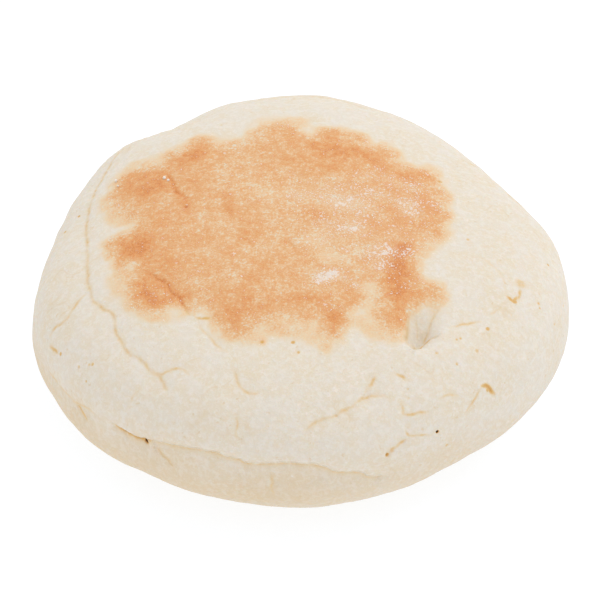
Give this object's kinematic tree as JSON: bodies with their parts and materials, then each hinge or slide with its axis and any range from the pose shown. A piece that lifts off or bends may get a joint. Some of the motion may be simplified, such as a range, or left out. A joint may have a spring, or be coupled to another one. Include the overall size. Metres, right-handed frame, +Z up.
{
  "type": "english muffin",
  "caption": "Whole griddle-baked bread muffin: a thick, slightly uneven round with flattened faces, a browned top and base and a pale, creased side.",
  "frame": {"origin": "middle of the flat base, at the level of the surface the muffin rests on", "axes": "+Z up through the browned top face; -Y is the side with the deep waist crease, which the picture is taken from; +X is to the right of that view"},
  "size_m": [0.0942, 0.0958, 0.034],
  "materials": {
    "baked_dough": "matt, soft baked dough: cream at the side, mottled golden brown where a face met the griddle, with a little flour"
  },
  "bodies": {
    "root": {"english_muffin": "baked_dough"}
  },
  "joints": []
}
